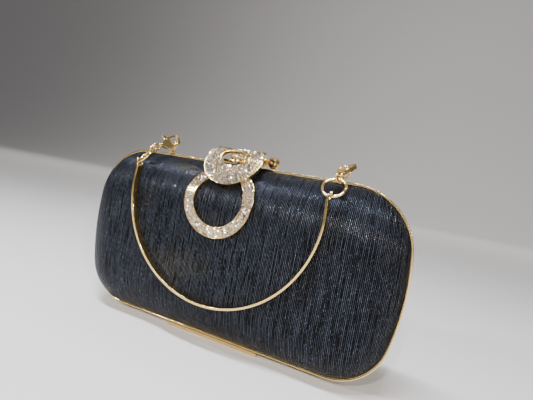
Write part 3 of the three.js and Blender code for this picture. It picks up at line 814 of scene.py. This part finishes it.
def arch_edge(turn):
    """The saddle's outline: round below, with a straight crest and short straight sides above."""
    x = ARCH_HALF_WIDTH * math.cos(turn)
    along = ARCH_MIDDLE - ARCH_HALF_LENGTH * math.sin(turn)
    if along > ARCH_CREST_LENGTH:
        return x, along
    reach = min(1.0, 1.1 * abs(math.tan(math.pi / 2 - turn)))
    return math.copysign(ARCH_CREST_HALF_WIDTH * reach, x), max(0.0, along)


def arch_hole(turn):
    return ARCH_HOLE[0] * math.cos(turn), ARCH_HOLE_MIDDLE - ARCH_HOLE[1] * math.sin(turn)


def set_plate(name, outer, inner, wall, path, around=96, cuts=7):
    """A ring plate: two loops bridged, a border left proud round the sunk bed, then bent to its path."""
    upright = (math.pi / 2, 0, 0)
    piece = begin(name, bpy.ops.mesh.primitive_circle_add, vertices=around, radius=1, rotation=upright)
    turns = [math.atan2(v.co.z, v.co.x) for v in piece.data.vertices]
    with editing(piece):
        bpy.ops.mesh.duplicate()
    for i, vertex in enumerate(piece.data.vertices):
        edge = outer if i < around else inner
        x, along = edge(turns[i % around])
        vertex.co = (x, 0, along)
    with editing(piece):
        bpy.ops.mesh.bridge_edge_loops(number_cuts=cuts, interpolation="LINEAR")
    modify(piece, "SOLIDIFY", thickness=wall, offset=1 if piece.data.polygons[0].normal.y > 0 else -1)
    even_out(piece)
    with editing(piece):
        pick(piece, "FACE", lambda face: face.normal.y < -0.9)
        bpy.ops.mesh.inset(thickness=BORDER)
        bpy.ops.mesh.inset(thickness=0.05 * MM, depth=-BED_DEPTH)
    for vertex in piece.data.vertices:
        x, depth, along = vertex.co
        point = path(along, depth)
        vertex.co = (x, point.y, point.z)
    even_out(piece)
    break_edges(piece, 0.1 * MM, 2, 50)
    soften(piece, 35)
    return piece


def sampled(edge, count):
    """A closed edge as points, spaced close together."""
    return np.array([edge(2 * math.pi * i / count) for i in range(count)])


def gap_to(points, point):
    """The distance from a point to the nearest of many."""
    return np.hypot(*(points - point).T).min()


def loop_points(edge, inset, count=720):
    """Places along an edge moved into the plate that keep clear of that edge."""
    line = sampled(edge, count)
    ahead = np.roll(line, -1, 0) - np.roll(line, 1, 0)
    length = np.linalg.norm(ahead, axis=1)
    keep = length > 1e-9
    normal = np.stack([-ahead[:, 1], ahead[:, 0]], 1)[keep] / length[keep][:, None]
    moved = line[keep] + normal * inset
    gap = np.sqrt(((moved[:, None] - line[None]) ** 2).sum(2)).min(1)
    return moved[gap > abs(inset) * 0.985]


def stone_places(outer, inner, outwards):
    """Rows of stones that follow the outer edge, then the hole, then fill what is left between them."""
    margin = BORDER + STONE_RADIUS * 1.04
    rim, hole = sampled(outer, 720), sampled(inner, 720)
    rows = [(outer, margin + STONE_PITCH * k * 0.99) for k in range(10)]
    rows.insert(1, (inner, -margin))
    kept = np.zeros((0, 2))
    for edge, inset in rows:
        for point in loop_points(edge, inset * outwards):
            if min(gap_to(rim, point), gap_to(hole, point)) < margin * 0.985:
                continue
            if not within(point, rim) or within(point, hole):
                continue
            if len(kept) and gap_to(kept, point) < STONE_PITCH * 0.97:
                continue
            kept = np.vstack([kept, point])
    return kept


def within(point, line):
    """Whether a point lies inside a closed line."""
    ahead = np.roll(line, -1, 0)
    crosses = (line[:, 1] > point[1]) != (ahead[:, 1] > point[1])
    rise = np.where(ahead[:, 1] == line[:, 1], 1e-12, ahead[:, 1] - line[:, 1])
    at = line[:, 0] + (point[1] - line[:, 1]) * (ahead[:, 0] - line[:, 0]) / rise
    return bool((crosses & (point[0] < at)).sum() % 2)


def bead_places(stones, outer, inner):
    """The raised grains between the stones: wherever three stones leave room."""
    rim, hole = sampled(outer, 360), sampled(inner, 360)
    low, high = rim.min(0), rim.max(0)
    step = 0.17 * MM
    found = []
    for x in np.arange(low[0], high[0], step):
        for along in np.arange(low[1], high[1], step):
            near = gap_to(stones, (x, along))
            if STONE_RADIUS + BEAD_RADIUS * 0.4 < near < 2 * STONE_RADIUS and within((x, along), rim):
                found.append((-near, x, along))
    kept = np.zeros((0, 2))
    for _, x, along in sorted(found):
        point = np.array((x, along))
        if min(gap_to(rim, point), gap_to(hole, point)) < BORDER + BEAD_RADIUS * 0.6:
            continue
        if within(point, hole) or len(kept) and gap_to(kept, point) < BEAD_PITCH:
            continue
        kept = np.vstack([kept, point])
    return kept


def chaton():
    """One cut stone: an eight-sided girdle, a crown of kite facets and a flat table."""
    girdle = bpy.ops.mesh.primitive_circle_add
    stone = begin("chaton", girdle, vertices=8, radius=STONE_RADIUS, fill_type="NGON")
    with editing(stone):
        extrude((0, 0, 0.24 * MM))
        bpy.ops.transform.resize(value=(0.74, 0.74, 1))
        turn = Matrix.Rotation(math.pi / 8, 4, "Z")
    for vertex in stone.data.vertices:
        if vertex.co.z > 0.12 * MM:
            vertex.co = turn @ vertex.co
    with editing(stone):
        pick(stone, "FACE", lambda face: face.calc_center_median().z > 0.2 * MM)
        bpy.ops.mesh.inset(thickness=0.13 * MM, depth=0.08 * MM)
        pick(stone, "FACE", lambda face: face.calc_center_median().z < 0.01 * MM)
        extrude((0, 0, -0.25 * MM))
        bpy.ops.transform.resize(value=(0.7, 0.7, 1))
        bpy.ops.mesh.select_all(action="SELECT")
        bpy.ops.mesh.quads_convert_to_tris()
        bpy.ops.mesh.normals_make_consistent(inside=False)
    return stone


def grain():
    """One bead of metal raised with a burr."""
    bead = begin("grain", bpy.ops.mesh.primitive_ico_sphere_add, subdivisions=1, radius=BEAD_RADIUS)
    with editing(bead):
        bpy.ops.transform.resize(value=(1, 1, 0.8))
    return bead


def many(name, model, places):
    """One piece made of a model's copies, each with its own faces, at many places."""
    shape = np.array([(*v.co, 1) for v in model.data.vertices])
    faces = [list(p.vertices) for p in model.data.polygons]
    points = np.vstack([shape @ np.array(place).T for place in places])[:, :3]
    count = len(shape)
    all_faces = [[v + i * count for v in face] for i in range(len(places)) for face in faces]
    mesh = bpy.data.meshes.new(name)
    mesh.from_pydata(points.tolist(), [], all_faces)
    piece = bpy.data.objects.new(name, mesh)
    bpy.context.scene.collection.objects.link(piece)
    bpy.data.objects.remove(model)
    return piece


def standing(path, point, lift):
    """A matrix that stands something on a bent plate, with its own Z along the plate's normal."""
    x, along = point
    step = 0.2 * MM
    here = path(along, lift)
    run = (path(along + step, lift) - path(along - step, lift)).normalized()
    outward = (path(along, lift) - path(along, lift + step)).normalized()
    here.x = x
    side = run.cross(outward)
    return Matrix.Translation(here) @ Matrix((side, run, outward)).transposed().to_4x4()


def jewelled_ring(word, node, outer, inner, wall, path, seed, outwards):
    """A plate with its stones and beads, as three pieces."""
    body = set_plate(f"{word}_setting", outer, inner, wall, path)
    fit(body, "front_half", "pave", GILT, node)
    stones = stone_places(outer, inner, outwards)
    draw = np.random.default_rng(seed)
    places = []
    for point in stones:
        lean = [Matrix.Rotation(draw.uniform(-0.22, 0.22), 4, axis) for axis in "XY"]
        spin = Matrix.Rotation(draw.uniform(0, math.pi / 4), 4, "Z")
        places.append(standing(path, point, BED_DEPTH - 0.12 * MM) @ lean[0] @ lean[1] @ spin)
    set_stones = many(f"{word}_rhinestones", chaton(), places)
    fit(set_stones, "front_half", "pave", STONE)
    beads = [standing(path, point, BED_DEPTH - 0.1 * MM) for point in bead_places(stones, outer, inner)]
    grains = many(f"{word}_grains", grain(), beads)
    soften(grains, 80)
    fit(grains, "front_half", "pave", GILT)


jewelled_ring("arch_ring", "arch_ring", arch_edge, arch_hole, ARCH_WALL, saddle_path, 3, -1)
jewelled_ring(
    "lower_ring", "lower_ring", ring_edge(RING_OUTER), ring_edge(RING_INNER), RING_WALL, shoulder_path, 5, 1
)


# The kiss lock, the bracket with its rivets, and the eyes of the small rings.


def middle_of(node):
    low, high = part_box(node)
    return (low + high) / 2, high - low


def bar(name, low, high, edge=0.25 * MM, segments=3):
    """A square bar with rounded edges."""
    place = (Vector(low) + Vector(high)) / 2
    size = Vector(high) - Vector(low)
    piece = begin(name, bpy.ops.mesh.primitive_cube_add, size=1, location=place, scale=size)
    with editing(piece):
        bpy.ops.mesh.select_all(action="SELECT")
        bpy.ops.mesh.bevel(offset=edge, segments=segments)
    return piece


def pin(name, radius, bottom, top, edge=0.15 * MM, sides=32):
    """A round bar between two places, with its rims broken."""
    run = Vector(top) - Vector(bottom)
    piece = begin(
        name,
        bpy.ops.mesh.primitive_cylinder_add,
        vertices=sides,
        radius=radius,
        depth=run.length,
        location=(Vector(top) + Vector(bottom)) / 2,
        rotation=run.to_track_quat("Z", "Y").to_euler(),
    )
    with editing(piece):
        pick(piece, "FACE", lambda face: len(face.verts) > 4)
        bpy.ops.mesh.region_to_loop()
        bpy.ops.mesh.bevel(offset=edge, segments=2)
    return piece


def kiss_ball():
    """The ball: a bezel is sunk into its front for one dark stone, and a collar carries it."""
    middle, size = middle_of("back_kiss_stud")
    radius = size.x / 2
    centre = Vector((middle.x, middle.y, CASE_TOP + 0.4 * MM + radius))
    ball = begin(
        "kiss_ball",
        bpy.ops.mesh.primitive_uv_sphere_add,
        segments=48,
        ring_count=28,
        radius=radius,
        location=centre,
        rotation=(math.pi / 2, 0, 0),
    )
    with editing(ball):
        pick(ball, "FACE", lambda face: face.normal.y < -0.86)
        bpy.ops.mesh.inset(thickness=0.25 * MM, depth=0.12 * MM)
        bpy.ops.mesh.inset(thickness=0.12 * MM, depth=-0.5 * MM)
    foot_y = PARTING_Y + 1.1 * MM
    rise = Vector((centre.x, foot_y, CASE_TOP + 0.3 * MM))
    cut(ball, pin("kiss_ball_foot", 0.9 * MM, rise, rise + Vector((0, 0, 1.6 * MM))), "UNION")
    cut(ball, pin("kiss_ball_collar", 1.6 * MM, rise, rise + Vector((0, 0, 0.5 * MM))), "UNION")
    soften(ball, 40)
    fit(ball, "back_half", "gilt", GILT, "back_kiss_stud")
    stone = begin(
        "kiss_ball_stone",
        bpy.ops.mesh.primitive_cylinder_add,
        vertices=12,
        radius=1.35 * MM,
        depth=0.8 * MM,
        location=centre - Vector((0, radius - 0.75 * MM, 0)),
        rotation=(math.pi / 2, 0, 0),
    )
    with editing(stone):
        pick(stone, "FACE", lambda face: face.normal.y < -0.9)
        bpy.ops.mesh.inset(thickness=0.5 * MM, depth=0.3 * MM)
    fit(stone, "back_half", "gilt", SMOKY)


def kiss_block():
    """The block that snaps past the ball, grained all over like the settings."""
    low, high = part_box("front_kiss_stud")
    low = Vector((low.x, low.y, CASE_TOP + 1.2 * MM))
    block = bar("kiss_block", low, high, 0.4 * MM)
    foot = Vector(((low.x + high.x) / 2, PARTING_Y - 1.1 * MM, CASE_TOP + 0.3 * MM))
    cut(block, pin("kiss_block_foot", 0.9 * MM, foot, foot + Vector((0, 0, 1.6 * MM))), "UNION")
    soften(block, 35)
    fit(block, "front_half", "gilt", GILT, "front_kiss_stud")
    pitch = 0.62 * MM
    margin = 0.45 * MM

    def row(start, end):
        return [start + margin + i * pitch for i in range(int((end - start - 0.8 * MM) / pitch) + 1)]

    across, deep, up = (row(low[i], high[i]) for i in range(3))
    places = []
    for x in across:
        for z in up:
            places.append(Matrix.Translation((x, low.y, z)) @ Matrix.Rotation(math.pi / 2, 4, "X"))
        for y in deep:
            places.append(Matrix.Translation((x, y, high.z)))
    for z in up:
        for y in deep:
            places.append(Matrix.Translation((high.x, y, z)) @ Matrix.Rotation(math.pi / 2, 4, "Y"))
    grains = many("kiss_block_grains", grain(), places)
    soften(grains, 80)
    fit(grains, "front_half", "gilt", GILT)


def bracket():
    """Foot, web and round boss in one casting, the boss set with stones round its front and top."""
    low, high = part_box("clasp_bracket")
    top = CASE_TOP + 1.9 * MM
    foot = bar("clasp_bracket_casting", (low.x, low.y, CASE_TOP + 0.3 * MM), (high.x, high.y, top), 0.3 * MM)
    reach = PARTING_Y - 2.9 * MM
    level = high.z - 2.1 * MM
    web = bar("bracket_web", (-5 * MM, reach - MM, top - 0.5 * MM), (3 * MM, reach + MM, level), 0.2 * MM)
    cut(foot, web, "UNION")
    boss = pin("bracket_boss", 2.0 * MM, (-6 * MM, reach, level), (4 * MM, reach, level), 0.4 * MM, 40)
    cut(foot, boss, "UNION")
    soften(foot, 35)
    fit(foot, "front_half", "gilt", GILT, "clasp_bracket")
    places = []
    for i in range(6):
        for j in range(5):
            turn = math.radians(-35 + 38 * j)
            place = Matrix.Translation((-4.5 * MM + i * 1.4 * MM, reach, level))
            lift = Matrix.Translation((0, 0, 1.93 * MM))
            places.append(place @ Matrix.Rotation(math.pi / 2 - turn, 4, "X") @ lift)
    stones = many("bracket_rhinestones", chaton(), places)
    fit(stones, "front_half", "pave", STONE)


def rivet(side):
    """A domed head on a thin washer, in the bracket's front edge."""
    node = f"bracket_rivet_{side}"
    low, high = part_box(node)
    middle = (low + high) / 2
    radius = (high.x - low.x) / 2
    head = begin(
        f"{node}_head",
        bpy.ops.mesh.primitive_uv_sphere_add,
        segments=32,
        ring_count=18,
        radius=radius,
        location=(middle.x, low.y + radius, middle.z),
        rotation=(math.pi / 2, 0, 0),
    )
    with editing(head):
        pick(head, "FACE", lambda face: face.normal.y < -0.97)
        bpy.ops.mesh.inset(thickness=0.12 * MM, depth=-0.06 * MM)
    back = Vector((middle.x, high.y, middle.z))
    washer = pin("washer", radius * 0.86, back - Vector((0, 0.45 * MM, 0)), back, 0.1 * MM)
    cut(head, washer, "UNION")
    soften(head, 40)
    fit(head, "front_half", "gilt", GILT, node)


def anchor_eye(side):
    """A turned eye on a short foot, standing on the frame for the small ring."""
    node = f"{side}_anchor_eye"
    normal = ring_place(f"{side}_frame_ring")[1]
    middle = middle_of(node)[0]
    hole = Vector((middle.x, middle.y, CASE_TOP + 1.6 * MM))
    across = Vector((normal.x, normal.y, 0)).normalized()
    along = Vector((-across.y, across.x, 0))
    eye = begin(
        f"{node}_turned",
        bpy.ops.mesh.primitive_torus_add,
        major_segments=40,
        minor_segments=16,
        major_radius=1.6 * MM,
        minor_radius=0.32 * MM,
    )
    with editing(eye):
        bpy.ops.transform.resize(value=(1, 1, 1.2))
    stand = basis(hole, Vector((0, 0, 1)), along)
    for vertex in eye.data.vertices:
        vertex.co = stand @ vertex.co
    base = Vector((hole.x, hole.y, CASE_TOP + 0.3 * MM))
    cut(eye, pin(f"{node}_foot", 0.55 * MM, base, base + Vector((0, 0, 0.3 * MM)), 0.08 * MM), "UNION")
    soften(eye, 40)
    fit(eye, "front_half", "gilt", GILT, node)


kiss_ball()
kiss_block()
bracket()
for side in ("left", "right"):
    rivet(side)
    anchor_eye(side)


# The inside: satin glued over the boards, and a slip pocket on the back half.
LINING_UNDER = 2.9 * MM
LINING_WALL = 0.5 * MM


def lining(side, word):
    piece = dish(f"{word}_satin_lining", side, LINING_UNDER, COVER_START, 14)
    lay_cloth(piece, LINING_UNDER)
    modify(piece, "SOLIDIFY", thickness=LINING_WALL, offset=-1, use_even_offset=True)
    even_out(piece)
    soften(piece, 50)
    fit(piece, f"{word}_half", "satin", SATIN, f"{word}_lining")


def slip_pocket():
    """A flat pouch: a satin panel with a turned hem along its mouth, welts at its sides and foot."""
    low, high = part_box("slip_pocket")
    wall = 0.6 * MM
    welt = 2 * MM
    panel = bar("slip_pocket_panel", low, (high.x, low.y + wall, high.z), 0.15 * MM, 2)
    with editing(panel):
        pick(panel, "FACE", lambda face: face.normal.y < -0.9 and face.calc_area() > 1e-4)
        bpy.ops.mesh.inset(thickness=2.2 * MM, depth=0)
        bpy.ops.mesh.inset(thickness=0.3 * MM, depth=-0.12 * MM)
        bpy.ops.mesh.inset(thickness=0.3 * MM, depth=0.1 * MM)
    back = low.y + wall * 0.5
    sides = [
        bar("welt", (low.x, back, low.z), (low.x + welt, high.y, high.z), 0.2 * MM, 2),
        bar("welt", (high.x - welt, back, low.z), (high.x, high.y, high.z), 0.2 * MM, 2),
        bar("welt", (low.x, back, low.z), (high.x, high.y, low.z + welt), 0.2 * MM, 2),
    ]
    welts = sides[0]
    cut(welts, sides[1], "UNION")
    cut(welts, sides[2], "UNION")
    welts.name = "slip_pocket_welts"
    soften(welts, 40)
    fit(welts, "back_half", "satin", SATIN)
    soften(panel, 40)
    fit(panel, "back_half", "satin", SATIN, "slip_pocket")
    stitch = pin("stitch", 0.13 * MM, (0, 0, -0.8 * MM), (0, 0, 0.8 * MM), 0.05 * MM, 8)
    places = []
    pitch = 2.3 * MM
    inset = 1.2 * MM
    for i in range(int((high.x - low.x - 2 * inset) / pitch) + 1):
        for level in (low.z + inset, high.z - inset):
            place = Matrix.Translation((low.x + inset + i * pitch, low.y - 0.02 * MM, level))
            places.append(place @ Matrix.Rotation(math.pi / 2, 4, "Y"))
    for i in range(int((high.z - low.z - 4 * inset) / pitch) + 1):
        for x in (low.x + inset, high.x - inset):
            places.append(Matrix.Translation((x, low.y - 0.02 * MM, low.z + 2 * inset + i * pitch)))
    stitches = many("slip_pocket_stitches", stitch, places)
    fit(stitches, "back_half", "satin", THREAD)


lining(1, "back")
lining(-1, "front")
slip_pocket()


# The camera, the floor and the light.


def studio():
    """A pale floor that rolls up far behind into a backdrop."""
    floor = begin("floor", bpy.ops.mesh.primitive_plane_add, size=1, location=(0, 0, 0))
    with editing(floor):
        bpy.ops.transform.resize(value=(30, 12, 1))
        bpy.ops.transform.translate(value=(0, -2, 0))
        pick(floor, "EDGE", lambda edge: all(v.co.y > 3.9 for v in edge.verts))
        bpy.ops.mesh.spin(steps=24, angle=-math.pi / 2, center=(0, 4, 4), axis=(1, 0, 0))
        extrude((0, 0, 12))
    soften(floor, 60)
    floor.data.materials.append(finish_named("studio_paper", "#cfcbc7", Roughness=0.9)[0])


def light(name, place, aim, size, power, colour="#ffffff"):
    lamp = bpy.data.lights.new(name, "AREA")
    lamp.shape = "RECTANGLE"
    lamp.size, lamp.size_y = size
    lamp.energy = power
    lamp.color = linear(colour)[:3]
    holder = bpy.data.objects.new(name, lamp)
    bpy.context.scene.collection.objects.link(holder)
    holder.location = place
    holder.rotation_euler = (Vector(aim) - Vector(place)).to_track_quat("-Z", "Y").to_euler()


def camera():
    """A close, wide view from the right of the front, a little above it and rolled."""
    aim = Vector((0.0223, -0.0048, 0.0856))
    azimuth, elevation, roll = (math.radians(a) for a in (24.43, 1.59, 10.44))
    turn = Matrix.Rotation(azimuth, 3, "Z") @ Matrix.Rotation(math.pi / 2 - elevation, 3, "X")
    turn = turn @ Matrix.Rotation(roll, 3, "Z")
    data = bpy.data.cameras.new("camera")
    data.sensor_width = 36
    data.lens = 27.31
    data.clip_start = 0.01
    holder = bpy.data.objects.new("camera", data)
    bpy.context.scene.collection.objects.link(holder)
    holder.matrix_world = Matrix.Translation(aim + turn @ Vector((0, 0, 0.215))) @ turn.to_4x4()
    bpy.context.scene.camera = holder


studio()
camera()
light("key", (-0.05, -0.28, 0.75), (0, 0, 0.1), (0.5, 0.06), 14, "#e9f0ff")
light("spark_left", (-0.5, -0.6, 0.45), (0, 0, 0.08), (0.04, 0.04), 5)
light("spark_right", (0.55, -0.55, 0.3), (0, 0, 0.08), (0.04, 0.04), 5, "#fff1e0")
light("spark_front", (0.12, -0.7, 0.45), (0, 0, 0.08), (0.03, 0.03), 4)
light("glow", (0.3, -0.8, 0.25), (0.02, 0, 0.04), (0.06, 0.35), 1.0, "#ffe2b0")
light("backdrop", (0, 1.5, 3.5), (0, 6, 1), (6, 2), 260)
world = bpy.data.worlds.new("studio_air")
world.use_nodes = True
world.node_tree.nodes["Background"].inputs[0].default_value = linear("#e6e8ee")
world.node_tree.nodes["Background"].inputs[1].default_value = 0.25
bpy.context.scene.world = world
